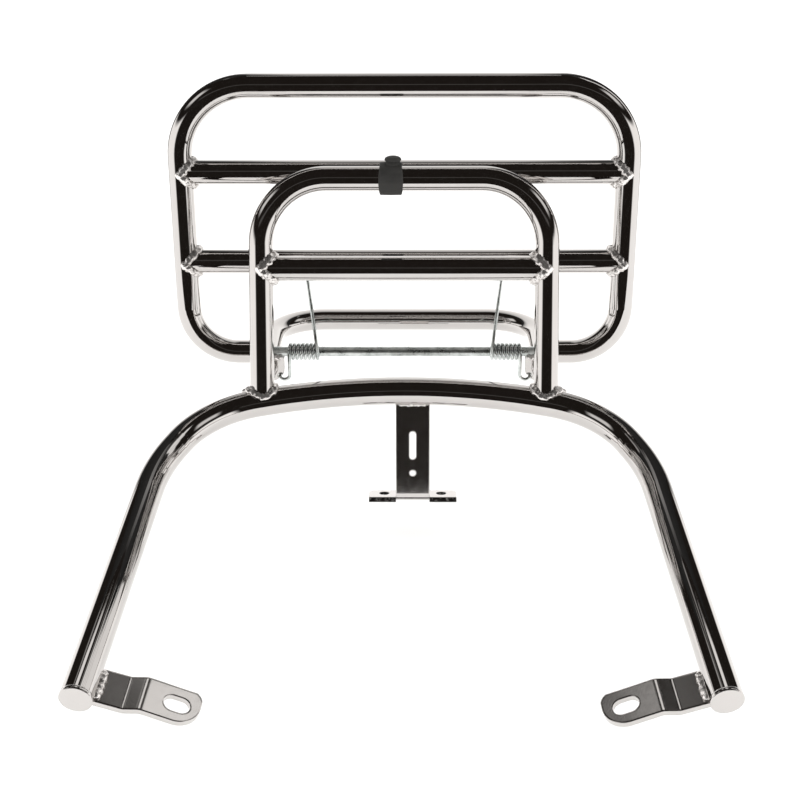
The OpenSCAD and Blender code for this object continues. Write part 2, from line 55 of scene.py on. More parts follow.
# where the arch's middle lies in the rack's own frame, and the sizes that the small parts follow
rack = {
    "archMiddle": (0.0, 216.551, 69.757),
    "archSlope": 14.0,
    "archRadius": 8.0,
    "crownRadius": 307.0,
    "tubeRadius": 7.0,
    "hoopX": 82.0,
    "hoopTop": (24.95, 120.6),
    "hoopBarDrop": 51.0,
    "supportX": 85.0,
    "supportZ": -1.6,
    "rodY": 41.6,
    "rodZ": 8.4,
    "platformX": 129.5,
    "lowerBar": 57.5,
    "upperBar": 111.5,
}


# a point given in millimetres from the arch's middle, in the rack's frame
def place(x, y, z):
    mx, my, mz = rack["archMiddle"]
    return Vector((x + mx, y + my, z + mz)) * mm


def turnX(degrees):
    return Matrix.Rotation(math.radians(degrees), 4, "X")


def turnY(degrees):
    return Matrix.Rotation(math.radians(degrees), 4, "Y")


def turnZ(degrees):
    return Matrix.Rotation(math.radians(degrees), 4, "Z")


# finishes
def newMaterial(name):
    material = bpy.data.materials.new(name)
    material.use_nodes = True
    tree = material.node_tree
    shader = tree.nodes["Principled BSDF"]
    return material, tree, shader


def addNode(tree, kind, **values):
    node = tree.nodes.new(kind)
    for key, value in values.items():
        if hasattr(node, key):
            setattr(node, key, value)
        else:
            node.inputs[key].default_value = value
    return node


def objectPoint(tree):
    return addNode(tree, "ShaderNodeTexCoord").outputs["Object"]


def noise(tree, vector, scale, detail=3.0, rough=0.5):
    node = addNode(tree, "ShaderNodeTexNoise", Scale=scale, Detail=detail, Roughness=rough)
    tree.links.new(vector, node.inputs["Vector"])
    return node.outputs["Fac"]


def mapped(tree, value, low, high, fromLow=0.3, fromHigh=0.7):
    node = addNode(tree, "ShaderNodeMapRange")
    node.inputs["From Min"].default_value = fromLow
    node.inputs["From Max"].default_value = fromHigh
    node.inputs["To Min"].default_value = low
    node.inputs["To Max"].default_value = high
    tree.links.new(value, node.inputs["Value"])
    return node.outputs["Result"]


def tinted(tree, value, dark, light):
    node = addNode(tree, "ShaderNodeMix", data_type="RGBA")
    node.inputs["A"].default_value = (*dark, 1)
    node.inputs["B"].default_value = (*light, 1)
    tree.links.new(value, node.inputs["Factor"])
    return node.outputs["Result"]


def bumped(tree, shader, height, strength, distance):
    node = addNode(tree, "ShaderNodeBump", Strength=strength, Distance=distance)
    tree.links.new(height, node.inputs["Height"])
    tree.links.new(node.outputs["Normal"], shader.inputs["Normal"])
    return node


def mathNode(tree, operation, first, second=None):
    node = addNode(tree, "ShaderNodeMath", operation=operation)
    for socket, value in zip(node.inputs, (first, second)):
        if value is None:
            continue
        if isinstance(value, (int, float)):
            socket.default_value = value
        else:
            tree.links.new(value, socket)
    return node.outputs["Value"]


chrome = {
    "dark": (0.56, 0.54, 0.525),
    "light": (0.625, 0.605, 0.59),
    "roughLow": 0.018,
    "roughHigh": 0.055,
    "cloudScale": 45.0,
    "smearScale": 300.0,
    "waveScale": 26.0,
    "waveStrength": 0.35,
    "waveDepth": 0.0005,
    "rippleScale": 900.0,
    "rippleDepth": 0.0002,
}


# plating with faint clouds and slow waves; ripple roughens it and edge rounds its corners
def makeChrome(name, rough=0.0, wave=1.0, ripple=0.0, gain=1.0, edge=0.0):
    material, tree, shader = newMaterial(name)
    point = objectPoint(tree)
    cloud = noise(tree, point, chrome["cloudScale"], detail=4.0)
    smear = noise(tree, point, chrome["smearScale"], detail=2.0)
    dark, light = (tuple(min(c * gain, 1.0) for c in chrome[k]) for k in ("dark", "light"))
    tree.links.new(tinted(tree, cloud, dark, light), shader.inputs["Base Color"])
    tree.links.new(
        mapped(tree, smear, chrome["roughLow"] + rough, chrome["roughHigh"] + rough),
        shader.inputs["Roughness"],
    )
    shader.inputs["Metallic"].default_value = 1.0
    sway = noise(tree, point, chrome["waveScale"], detail=1.0)
    bump = bumped(tree, shader, sway, chrome["waveStrength"] * wave, chrome["waveDepth"])
    if edge:
        soft = addNode(tree, "ShaderNodeBevel", samples=12, Radius=edge)
        tree.links.new(soft.outputs["Normal"], bump.inputs["Normal"])
    if ripple:
        grain = noise(tree, point, chrome["rippleScale"])
        fine = addNode(tree, "ShaderNodeBump", Strength=ripple, Distance=chrome["rippleDepth"])
        tree.links.new(grain, fine.inputs["Height"])
        tree.links.new(bump.outputs["Normal"], fine.inputs["Normal"])
        tree.links.new(fine.outputs["Normal"], shader.inputs["Normal"])
    return material


# painted shade on the foot: its low upright faces, the sheared edges and the hole walls, are made
# rougher and painted near black with pale pits, standing in for the shade where the foot meets the
# table
footEdgeShade = {
    "top": 0.0062,
    "upright": 0.5,
    "dark": (0.012, 0.011, 0.01),
    "pale": (0.3, 0.29, 0.28),
    "rough": 0.42,
    "pitScale": 700.0,
    "pitFrom": 0.5,
    "pitTo": 0.72,
}


# paints the shade: the foot's low upright faces get the near-black colour and more roughness
def paintFootEdgeShade(material):
    tree = material.node_tree
    shader = tree.nodes["Principled BSDF"]
    coord = addNode(tree, "ShaderNodeTexCoord")
    spot = addNode(tree, "ShaderNodeSeparateXYZ")
    facing = addNode(tree, "ShaderNodeSeparateXYZ")
    tree.links.new(coord.outputs["Object"], spot.inputs["Vector"])
    tree.links.new(coord.outputs["Normal"], facing.inputs["Vector"])
    low = mathNode(tree, "LESS_THAN", spot.outputs["Z"], footEdgeShade["top"])
    tilt = mathNode(tree, "ABSOLUTE", facing.outputs["Z"])
    upright = mathNode(tree, "LESS_THAN", tilt, footEdgeShade["upright"])
    # mask of the faces that get painted shade: low down and upright
    paintedShadeMask = mathNode(tree, "MULTIPLY", low, upright)
    pits = noise(tree, coord.outputs["Object"], footEdgeShade["pitScale"], rough=0.7)
    pits = mapped(tree, pits, 0, 1, footEdgeShade["pitFrom"], footEdgeShade["pitTo"])
    paintedShadeColor = tinted(tree, pits, footEdgeShade["dark"], footEdgeShade["pale"])
    for socket, kind in (("Base Color", "RGBA"), ("Roughness", "FLOAT")):
        mix = addNode(tree, "ShaderNodeMix", data_type=kind)
        tree.links.new(paintedShadeMask, mix.inputs["Factor"])
        tree.links.new(shader.inputs[socket].links[0].from_socket, mix.inputs["A"])
        if kind == "RGBA":
            tree.links.new(paintedShadeColor, mix.inputs["B"])
        else:
            mix.inputs["B"].default_value = footEdgeShade["rough"]
        tree.links.new(mix.outputs["Result"], shader.inputs[socket])


zinc = {
    "dark": (0.4, 0.43, 0.42),
    "light": (0.74, 0.77, 0.755),
    "cloudScale": 160.0,
    "roughSpread": 0.12,
    "grainScale": 1400.0,
    "grain": 0.18,
    "grainDepth": 0.0001,
}


def makeZinc(name, rough):
    material, tree, shader = newMaterial(name)
    point = objectPoint(tree)
    cloud = noise(tree, point, zinc["cloudScale"], detail=5.0, rough=0.6)
    spread = mapped(tree, cloud, 0, 1, 0.35, 0.65)
    tree.links.new(tinted(tree, spread, zinc["dark"], zinc["light"]), shader.inputs["Base Color"])
    tree.links.new(mapped(tree, cloud, rough, rough + zinc["roughSpread"]), shader.inputs["Roughness"])
    shader.inputs["Metallic"].default_value = 1.0
    grain = noise(tree, point, zinc["grainScale"], detail=2.0)
    bumped(tree, shader, grain, zinc["grain"], zinc["grainDepth"])
    return material


rubber = {
    "dark": (0.012, 0.0115, 0.0105),
    "light": (0.031, 0.0295, 0.0265),
    "cloudScale": 240.0,
    "smoother": 0.08,
    "rougher": 0.1,
    "grainScale": 2600.0,
    "grain": 0.3,
    "grainDepth": 0.0001,
}


def makeRubber(name, rough):
    material, tree, shader = newMaterial(name)
    point = objectPoint(tree)
    cloud = noise(tree, point, rubber["cloudScale"], detail=5.0, rough=0.6)
    tree.links.new(tinted(tree, cloud, rubber["dark"], rubber["light"]), shader.inputs["Base Color"])
    roughness = mapped(tree, cloud, rough - rubber["smoother"], rough + rubber["rougher"])
    tree.links.new(roughness, shader.inputs["Roughness"])
    grain = noise(tree, point, rubber["grainScale"])
    bumped(tree, shader, grain, rubber["grain"], rubber["grainDepth"])
    return material


flatSteel = {"rough": 0.06, "wave": 1.5, "ripple": 0.03, "gain": 1.04, "edge": 0.0012}
tubeFinish = makeChrome("polishedChrome")
plateFinish = makeChrome("platedFlatSteel", **flatSteel)
# the foot's finish has painted shade on its low upright faces and hole walls
footFinishWithShade = makeChrome("platedFootSteelPaintedShade", **flatSteel)
paintFootEdgeShade(footFinishWithShade)
beadFinish = makeChrome("platedWeldBead", rough=0.25, wave=0.5, ripple=0.5, gain=1.5)
rodFinish = makeZinc("zincRod", 0.24)
wireFinish = makeZinc("zincSpringWire", 0.07)
sleeveFinish = makeRubber("sleeveRubber", 0.62)
bushFinish = makeRubber("bushPlastic", 0.45)
print("finishes made")

finishOf = {
    "zinc": rodFinish,
    "spring_steel": wireFinish,
    "rubber": sleeveFinish,
    "bush": bushFinish,
    "weld": beadFinish,
    "chrome": tubeFinish,
}
plates = ("side_bracket", "centre_bracket", "end_cap", "spring_lug")  # how their nodes' names begin
slotOf = {part["node"]: part["material_slot"] for part in frame["record"]["subparts"]}
for name, piece in nodes.items():
    # the foot takes the finish with painted shade on its edges and hole walls
    if name == "centre_bracket":
        finish = footFinishWithShade
    else:
        finish = plateFinish if name.startswith(plates) else finishOf[slotOf[name]]
    piece.data.materials.clear()
    piece.data.materials.append(finish)


# mesh helpers, all in metres unless a note says otherwise
def meshPiece(name, points, faces, finish, smooth=True):
    mesh = bpy.data.meshes.new(name)
    mesh.from_pydata([tuple(p) for p in points], [], faces)
    mesh.validate()
    piece = bpy.data.objects.new(name, mesh)
    bpy.context.scene.collection.objects.link(piece)
    for polygon in mesh.polygons:
        polygon.use_smooth = smooth
    mesh.materials.append(finish)
    return piece


# a section carried along a path: section(i) gives pairs (side, up), which turn with the path
def sweepPoints(path, section, closed=False, upward=None):
    count = len(path)
    rings = []
    up = None
    for i, point in enumerate(path):
        before = path[(i - 1) % count] if closed or i > 0 else point
        after = path[(i + 1) % count] if closed or i < count - 1 else point
        ahead = (after - before).normalized()
        if upward is not None:
            up = upward
        elif up is None:
            up = Vector((0, 0, 1)) if abs(ahead.z) < 0.9 else Vector((0, 1, 0))
        up = (up - ahead * up.dot(ahead)).normalized()
        side = ahead.cross(up)
        rings.append([point + side * a + up * b for a, b in section(i)])
    return rings


def skin(rings, closed=False):
    points = [p for ring in rings for p in ring]
    size = len(rings[0])
    faces = []
    last = len(rings) if closed else len(rings) - 1
    for i in range(last):
        j = (i + 1) % len(rings)
        for k in range(size):
            m = (k + 1) % size
            faces.append((i * size + k, i * size + m, j * size + m, j * size + k))
    if not closed:
        faces.append(tuple(range(size))[::-1])
        faces.append(tuple((len(rings) - 1) * size + k for k in range(size)))
    return points, faces


def joinParts(parts):
    points, faces = [], []
    for partPoints, partFaces in parts:
        base = len(points)
        points += partPoints
        faces += [tuple(base + k for k in face) for face in partFaces]
    return points, faces


def mirrored(part):
    points, faces = part
    return [Vector((-p.x, p.y, p.z)) for p in points], [face[::-1] for face in faces]


def circlePairs(radius, sides):
    turns = [2 * math.pi * k / sides for k in range(sides)]
    return [(radius * math.cos(a), radius * math.sin(a)) for a in turns]


# a profile of (radius, height) pairs turned round an upright axis, in millimetres
def lathe(base, profile, count=48):
    rings = []
    for radius, height in profile:
        ring = circlePairs(max(radius, 0.01), count)  # a tiny ring in the middle
        rings.append([(base + Vector((a, b, height))) * mm for a, b in ring])
    return skin(rings)


# weld beads
bead = {
    "radius": 2.5,
    "swell": 0.16,
    "pitch": 3.1,
    "uneven": 0.18,
    "wander": 0.5,
    "wobble": 0.08,
    "lumps": 0.26,
    "lumpSize": 1.5,
    "fineLumps": 0.45,
    "fineScale": 2.6,
    "endSize": 0.25,
    "endLength": 1.2,
    "step": 0.25,
    "sides": 18,
    "seed": 7,
}


# a lumpy bead: overlapping drops along the path, uneven in size and place
def lumpyBead(path, closed, seed, radius=bead["radius"], flat=0.8, outward=None):
    dice = random.Random(bead["seed"] * 100 + seed)
    spans = len(path) if closed else len(path) - 1
    length = sum((path[(i + 1) % len(path)] - path[i]).length for i in range(spans))
    drops = max(3, round(length / bead["pitch"]))
    sizes = [1 + dice.uniform(-bead["uneven"], bead["uneven"]) for _ in range(drops + 1)]
    shifts = [dice.uniform(-bead["wander"], bead["wander"]) for _ in range(drops + 1)]
    if closed:
        sizes[-1] = sizes[0]
        shifts[-1] = shifts[0]
    along = [0.0]
    for i in range(1, len(path)):
        along.append(along[-1] + (path[i] - path[i - 1]).length)

    def section(i):
        t = along[i] / length * drops
        k = min(int(t), drops - 1)
        f = t - k
        ease = f * f * (3 - 2 * f)
        size = sizes[k] * (1 - ease) + sizes[k + 1] * ease
        shift = shifts[k] * (1 - ease) + shifts[k + 1] * ease
        hump = 1 + bead["swell"] * (math.sin(math.pi * f) ** 2 - 0.5)
        r = radius * size * hump
        if not closed:
            fromEnd = min(along[i], length - along[i])
            r *= min(1.0, bead["endSize"] + math.sqrt(max(fromEnd, 0) / (radius * bead["endLength"])))
        ring = []
        for s in range(bead["sides"]):
            angle = 2 * math.pi * s / bead["sides"]
            wobble = 1 + bead["wobble"] * math.sin(3 * angle + 5.1 * t + seed)
            ring.append((
                (r * wobble * math.cos(angle) + shift * 0.5) * mm,
                (r * wobble * flat * math.sin(angle)) * mm,
            ))
        return ring

    scaled = [p * mm for p in path]
    rings = sweepPoints(scaled, section, closed, outward)
    offset = Vector((seed * 7.3, 0, 0))
    for centre, ring in zip(scaled, rings):
        for s, point in enumerate(ring):
            spot = point / mm / bead["lumpSize"] + offset
            lump = mathutils.noise.noise(spot)
            lump += bead["fineLumps"] * mathutils.noise.noise(spot * bead["fineScale"])
            ring[s] = centre + (point - centre) * (1 + bead["lumps"] * lump)
    return skin(rings, closed)


# the line where a branch tube meets a main tube, as points in millimetres from the arch's middle
def saddle(base, ahead, branchRadius, mainPoint, mainAhead, mainRadius, count=96, lift=0.35):
    ahead, mainAhead = ahead.normalized(), mainAhead.normalized()
    e1 = (mainAhead - ahead * mainAhead.dot(ahead)).normalized()
    e2 = ahead.cross(e1)
    line = []
    for i in range(count):
        angle = 2 * math.pi * i / count
        out = branchRadius + lift
        start = base + e1 * out * math.cos(angle) + e2 * out * math.sin(angle)
        w = start - mainPoint
        a = ahead - mainAhead * ahead.dot(mainAhead)
        b = w - mainAhead * w.dot(mainAhead)
        qa, qb, qc = a.dot(a), 2 * a.dot(b), b.dot(b) - (mainRadius + lift) ** 2
        root = max(qb * qb - 4 * qa * qc, 0.0)
        line.append(start + ahead * ((-qb + math.sqrt(root)) / (2 * qa)))
    return line


def archPoint(x):
    flatY = math.sqrt(rack["crownRadius"] ** 2 - x * x) - rack["crownRadius"]
    s = math.radians(rack["archSlope"])
    return Vector((x, flatY * math.cos(s), flatY * math.sin(s)))


def archAhead(x):
    turn = math.asin(x / rack["crownRadius"])
    s = math.radians(rack["archSlope"])
    return Vector((math.cos(turn), -math.sin(turn) * math.cos(s), -math.sin(turn) * math.sin(s)))


def toRack(part):
    move = Vector(rack["archMiddle"]) * mm
    return [p + move for p in part[0]], part[1]


def beadPiece(name, parts, body, node, bothSides=True):
    parts = [toRack(part) for part in parts]
    if bothSides:
        parts += [mirrored(part) for part in parts]
    points, faces = joinParts(parts)
    piece = meshPiece(name, points, faces, beadFinish)
    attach(piece, body)
    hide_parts(node)
    return piece


hoopFoot = archPoint(rack["hoopX"])
hoopTop = Vector((rack["hoopX"], *rack["hoopTop"]))
hoopUp = (hoopTop - hoopFoot).normalized()
acrossIn = Vector((-1, 0, 0))
tube, archTube = rack["tubeRadius"], rack["archRadius"]
footLine = saddle(hoopFoot, hoopUp, tube, hoopFoot, archAhead(rack["hoopX"]), archTube)
beadPiece("hoop_foot_beads", [lumpyBead(footLine, True, 1)], "frame", "hoop_foot_welds")

barPoint = hoopTop - hoopUp * rack["hoopBarDrop"]
barLine = saddle(barPoint, acrossIn, tube, barPoint, hoopUp, tube)
beadPiece("hoop_bar_beads", [lumpyBead(barLine, True, 2)], "frame", "hoop_bar_welds")

onArch = archPoint(rack["supportX"])
legRoot = Vector((rack["supportX"], onArch.y, rack["supportZ"]))
rootLine = saddle(legRoot, Vector((0, 1, 0)), tube, onArch, archAhead(rack["supportX"]), archTube)
beadPiece("support_root_beads", [lumpyBead(rootLine, True, 3)], "frame", "support_welds")

# the rod's seat: beads on both sides, along the lug's top and on over the tube
rodSeat = {
    "from": 73.8,
    "tubeFrom": 78.5,
    "ease": 3.0,
    "to": 90.0,
    "drop": 2.7,
    "lugOut": 2.3,
    "tubeOut": 3.3,
    "radius": 2.1,
}


def rodSeatLine(side):
    line = []
    count = round((rodSeat["to"] - rodSeat["from"]) / bead["step"])
    for i in range(count + 1):
        x = rodSeat["from"] + bead["step"] * i
        ease = min(max((x - rodSeat["tubeFrom"]) / rodSeat["ease"] + 0.5, 0), 1)
        out = rodSeat["lugOut"] + (rodSeat["tubeOut"] - rodSeat["lugOut"]) * ease
        line.append(Vector((x, rack["rodY"] + side * out, rack["rodZ"] - rodSeat["drop"])))
    return line


rodParts = []
for seed, side in ((4, -1), (5, 1)):
    rodParts.append(lumpyBead(rodSeatLine(side), False, seed, rodSeat["radius"]))
beadPiece("rod_seat_beads", rodParts, "frame", "rod_welds")

barParts = []
for k, height in enumerate((rack["lowerBar"], rack["upperBar"])):
    end = Vector((rack["platformX"], rack["rodY"], rack["rodZ"] + height))
    line = saddle(end, acrossIn, tube, end, Vector((0, 0, 1)), tube)
    barParts.append(lumpyBead(line, True, 6 + k))
beadPiece("platform_bar_beads", barParts, "platform", "platform_welds")

# beads along the flat brackets; a seam is its place across, lift off the face, half length and radius
bracket = {
    "roll": 17.5,
    "drop": 3.5,
    "inset": 1.5,
    "width": 20.0,
    "thick": 3.0,
    "upperSeam": (8.4, 0.7, 8.6, 2.2),
    "lowerSeam": (7.2, 0.4, 8.0, 1.6),
    "flat": 0.85,
    "lean": (0.5, 1, 0),
}

# half of the arch as bends (radius, turn) and straights (length,)
archRun = [(rack["crownRadius"], -16.0), (64.0, -50.5), (5.5,), (115.0, -18.5), (146.5,)]


# where half of the arch ends in its own plane, and which way it points there
def runEnd(steps):
    x = y = a = 0.0
    for step in steps:
        if len(step) == 1:
            x += step[0] * math.cos(a)
            y += step[0] * math.sin(a)
        else:
            b = a + math.radians(step[1])
            r = math.copysign(step[0], step[1])
            x += r * (math.sin(b) - math.sin(a))
            y += r * (math.cos(a) - math.cos(b))
            a = b
    return x, y, math.degrees(a)


endX, endY, endTurn = runEnd(archRun)
legEnd = turnX(rack["archSlope"]) @ Matrix.Translation((endX, endY, 0)) @ turnZ(endTurn)
bracketPlace = (
    legEnd
    @ Matrix.Translation((-bracket["inset"] - bracket["width"] / 2, 0, 0))
    @ turnZ(-90)
    @ turnX(90)
    @ turnZ(-bracket["roll"])
)


def seamLine(across, up, half):
    count = round(2 * half / bead["step"])
    heights = [-half + bead["step"] * i for i in range(count + 1)]
    return [bracketPlace @ Vector((across, up - bracket["drop"], height)) for height in heights]


bracketUp = (bracketPlace.to_3x3() @ Vector(bracket["lean"])).normalized()
seams = []
for seed, face, seam in ((11, 1, "upperSeam"), (12, -1, "lowerSeam")):
    across, lift, half, radius = bracket[seam]
    line = seamLine(across, face * (bracket["thick"] / 2 + lift), half)
    seams.append(lumpyBead(line, False, seed, radius, bracket["flat"], bracketUp))
beadPiece("side_bracket_beads", seams, "frame", "side_bracket_welds")

# beads along the centre bracket's strip, a little sunk into the arch
strip = {
    "x": 5.0,
    "thick": 3.0,
    "half": 8.5,
    "out": 0.4,
    "frontSink": 0.4,
    "rearSink": 1.2,
    "radius": 1.7,
}
stripParts = []
for k, (side, sink) in enumerate(((-1, "frontSink"), (1, "rearSink"))):
    y = side * (strip["thick"] / 2 + strip["out"])
    z = -rack["archRadius"] + strip[sink]
    count = round(2 * strip["half"] / bead["step"])
    line = [Vector((strip["x"] - strip["half"] + bead["step"] * i, y, z)) for i in range(count + 1)]
    stripParts.append(lumpyBead(line, False, 13 + k, strip["radius"]))
beadPiece("centre_bracket_beads", stripParts, "frame", "centre_bracket_weld", False)
print("weld beads laid")


# torsion springs: the coil winds up between frame and platform, the long arm rides on the platform
spring = {
    "wire": 1.05,
    "coil": 4.4,
    "pitch": 2.5,
    "turns": 7,
    "perTurn": 32,
    "start": 52.5,
    "lean": 6.0,
    "armBend": 3.0,
    "wrap": 118.0,
    "wrapGap": 0.3,
    "hook": 3.2,
    "hookTurn": 120.0,
    "lastBend": 1.6,
    "hookDrop": 13.23,
    "tail": 5.3,
    "sides": 16,
}
spring["end"] = spring["start"] + spring["turns"] * spring["pitch"]


# points along straights (length,) and bends (radius, turn, roll), carried in the frame given
def wireRun(frameNow, steps, stride=2.0, turnStride=5.0):
    points = []
    for step in steps:
        if len(step) == 1:
            count = max(2, int(step[0] / stride))
            points += [frameNow @ Vector((step[0] * i / count, 0, 0)) for i in range(count)]
            frameNow = frameNow @ Matrix.Translation((step[0], 0, 0))
        else:
            radius, turn, roll = step
            frameNow = frameNow @ turnX(roll)
            side = math.copysign(1, turn)
            count = max(3, int(abs(turn) / turnStride))
            for i in range(count + 1):
                a = math.radians(turn) * i / count
                ahead, out = side * radius * math.sin(a), side * radius * (1 - math.cos(a))
                if i < count:
                    points.append(frameNow @ Vector((ahead, out, 0)))
            frameNow = frameNow @ Matrix.Translation((ahead, out, 0)) @ turnZ(turn)
    points.append(frameNow @ Vector((0, 0, 0)))
    return points


def coilPoint(turn):
    a = 2 * math.pi * turn
    return Vector((
        spring["start"] + spring["pitch"] * turn,
        rack["rodY"] - spring["coil"] * math.cos(a),
        rack["rodZ"] - spring["coil"] * math.sin(a),
    ))


def armLine():
    wrapRadius = rack["tubeRadius"] + spring["wire"] + spring["wrapGap"]
    reach = wrapRadius + spring["armBend"]
    offset = spring["armBend"] - spring["coil"]
    drop = math.sqrt(reach ** 2 - offset ** 2)
    armTurn = 90 + math.degrees(math.asin(-offset / reach))
    armStart = Matrix.Translation(coilPoint(0)) @ turnY(spring["lean"]) @ turnY(-90)
    length = rack["lowerBar"] / math.cos(math.radians(spring["lean"])) - drop
    arm = wireRun(armStart, [
        (length,),
        (spring["armBend"], armTurn, 0),
        (wrapRadius, -spring["wrap"], 0),
    ])
    return [coilPoint(0.05), coilPoint(0.02)] + arm  # it starts inside the coil's wire


def coilLine():
    coil = [coilPoint(i / spring["perTurn"]) for i in range(spring["turns"] * spring["perTurn"])]
    hookStart = Matrix.Translation(coilPoint(spring["turns"])) @ turnY(90)
    hook = wireRun(hookStart, [
        (spring["hookDrop"],),
        (spring["hook"], spring["hookTurn"], 90),
        (spring["lastBend"], -90, 90),
        (spring["tail"],),
    ])
    return coil + hook


def wirePiece(name, line, left):
    circle = circlePairs(spring["wire"] * mm, spring["sides"])
    part = toRack(skin(sweepPoints([p * mm for p in line], lambda i: circle)))
    if left:
        part = mirrored(part)
    piece = meshPiece(name, *part, wireFinish)
    return piece


for word, side in (("left", -1), ("right", 1)):
    arm = wirePiece("spring_arm_" + word, armLine(), side < 0)
    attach(arm, "platform")
    coil = wirePiece("spring_coil_" + word, coilLine(), side < 0)
    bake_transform(coil)
    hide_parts("spring_" + word)
print("springs wound")


# rubber sleeve round the hoop's top, with a boss for its pin
sleeve = {
    "x": -7.4,
    "width": 14.0,
    "inner": 7.05,
    "outer": 9.35,
    "bow": 0.8,
    "edge": 0.75,
    "bevel": 0.25,
    "crown": 0.12,
    "boss": 4.0,
    "bossHeight": 1.2,
    "pinShift": 1.2,
    "rings": 96,
    "corner": 6,
}


def sleeveRing(angle):
    y, z = math.cos(angle), math.sin(angle)
    half = sleeve["width"] / 2 - sleeve["bow"] * z * z
    inner, outer, r, bevel = (sleeve[k] for k in ("inner", "outer", "edge", "bevel"))
    corner = sleeve["corner"]
    pairs = [(-half + bevel, inner), (half - bevel, inner), (half, inner + bevel)]
    for k in range(corner + 1):
        a = math.pi / 2 * k / corner
        pairs.append((half - r + r * math.cos(a), outer - r + r * math.sin(a)))
    for k in range(1, corner):
        t = k / corner
        pairs.append(((half - r) * (1 - 2 * t), outer + sleeve["crown"] * math.sin(math.pi * t)))
    for k in range(corner + 1):
        a = math.pi / 2 * (1 + k / corner)
        pairs.append((-half + r + r * math.cos(a), outer - r + r * math.sin(a)))
    pairs.append((-half, inner + bevel))
    top = Vector((sleeve["x"], *rack["hoopTop"]))
    return [(top + Vector((x, radius * y, radius * z))) * mm for x, radius in pairs]


# the boss flares into the sleeve: how far out and how far below its top, from the top down
bossFlare = [(-0.25, 0), (0, 0.25), (0.05, 0.5), (0.3, 1.0), (0.75, 1.5), (0.9, 2.6)]

sleeveRings = [sleeveRing(2 * math.pi * i / sleeve["rings"]) for i in range(sleeve["rings"])]
pinFoot = Vector((sleeve["x"] + sleeve["pinShift"], *rack["hoopTop"]))
bossTop = sleeve["outer"] + sleeve["bossHeight"]
bossProfile = [(sleeve["boss"] + out, bossTop - below) for out, below in bossFlare]
bossProfile = [(0, bossTop), *bossProfile, (0, bossTop - bossFlare[-1][1])]
sleevePiece = meshPiece(
    "rubber_sleeve",
    *toRack(joinParts([skin(sleeveRings, True), lathe(pinFoot, bossProfile)])),
    sleeveFinish,
)
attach(sleevePiece, "frame")
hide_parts("retaining_clip")

pin = {"radius": 4.8, "height": 2.4, "rim": 0.5, "shank": 1.45, "shankLength": 3.4, "gate": 1.1}


def pinProfile():
    r, h, rim, gate = (pin[k] for k in ("radius", "height", "rim", "gate"))
    profile = [(0, h - 0.25), (gate * 0.7, h - 0.22), (gate, h - 0.02)]  # moulding mark in the dome
    for k in range(1, 11):
        t = k / 10
        out = gate + (r - gate) * t
        profile.append((out, rim + (h - rim) * math.sqrt(max(1 - (out / r) ** 2.4, 0))))
    profile += [(r, rim * 0.5), (r - 0.15, 0.05), (r - 0.4, 0.0)]
    profile += [(pin["shank"], 0.0), (pin["shank"], -pin["shankLength"]), (0, -pin["shankLength"])]
    return profile


pinMesh = lathe(pinFoot + Vector((0, 0, bossTop)), pinProfile())
pinPiece = meshPiece("sleeve_pin", *toRack(pinMesh), sleeveFinish)
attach(pinPiece, "frame")
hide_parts("clip_pin")
print("rubber sleeve and pin fitted")


# floor, light and camera
studio = {
    "floorZ": -0.03,
    "floorFront": -0.07,
    "floorBack": 3.2,
    "floorHalf": 1.6,
    "floorColor": (0.93, 0.925, 0.92),
    "floorShade": 0.985,
    "daylight": 1.48,
    "dayTint": (1.0, 0.995, 0.99),
    "roomDark": (0.016, 0.013, 0.011),
    "wallTint": (1.0, 0.985, 0.97),
}

# pale walls that the chrome sees, in degrees, where 0 is rearward and 90 to the rack's right:
# from, to, softness of both sides, bottom, top, softness of both ends, brightness
walls = [
    (-132, 132, 6, -95, 11, 4, 1.35),  # low, all round but the front
    (40.5, 66, 1.5, 51.5, 60, 1.5, 1.05),  # a tall one at the right, slanted in four steps
    (47, 66, 1.5, 45, 51.5, 1.5, 1.05),
    (50, 66, 1.5, 38, 45, 1.5, 1.05),
    (53, 66, 1.5, 8, 38, 1.5, 1.05),
    (-49, -40, 1.5, 52, 60, 1.5, 0.42),  # small dim ones high up at both sides
    (-31.5, -22, 1.5, 54, 59.5, 1.5, 0.3),
    (30, 39, 1.5, 56.5, 61.5, 1.5, 0.16),
    (-39, -33, 1.5, 56.5, 61.5, 1.5, 0.12),
    (-16, 14, 3, 62, 66.5, 1, 1.1),  # a strip high above the back
    (88, 116, 5, 27, 45, 5, 0.9),  # one beside the rack, and its mirror image
    (-116, -88, 5, 27, 45, 5, 0.9),
    (140, 190, 4, 20, 24, 1.5, 0.09),  # a faint line in front, in two halves
    (-190, -140, 4, 20, 24, 1.5, 0.09),
]

# a white board close behind the rack that only its reflections show: it dims above fadeFrom and
# beyond sideFrom, and beyond fallFrom the upward dimming starts lower
board = {
    "y": 0.57,
    "half": 0.5,
    "bottom": -0.03,
    "top": 0.9,
    "fadeFrom": 0.12,
    "light": 1.35,
    "topLight": 0.03,
    "sideFrom": 0.25,
    "sideLight": 0.65,
    "fallFrom": 0.1,
    "sideFall": 6.0,
}


def makeFloor():
    half, front, back, z = (studio[k] for k in ("floorHalf", "floorFront", "floorBack", "floorZ"))
    points = [(-half, front, z), (half, front, z), (half, back, z), (-half, back, z)]
    material, tree, shader = newMaterial("paleTable")
    point = objectPoint(tree)
    cloud = noise(tree, point, 2.0, detail=2.0)
    light = studio["floorColor"]
    dark = tuple(c * studio["floorShade"] for c in light)
    tree.links.new(tinted(tree, cloud, dark, light), shader.inputs["Base Color"])
    shader.inputs["Roughness"].default_value = 1.0
    shader.inputs["Specular IOR Level"].default_value = 0.0
    floor = meshPiece("studio_floor", [Vector(p) for p in points], [(0, 1, 2, 3)], material, False)


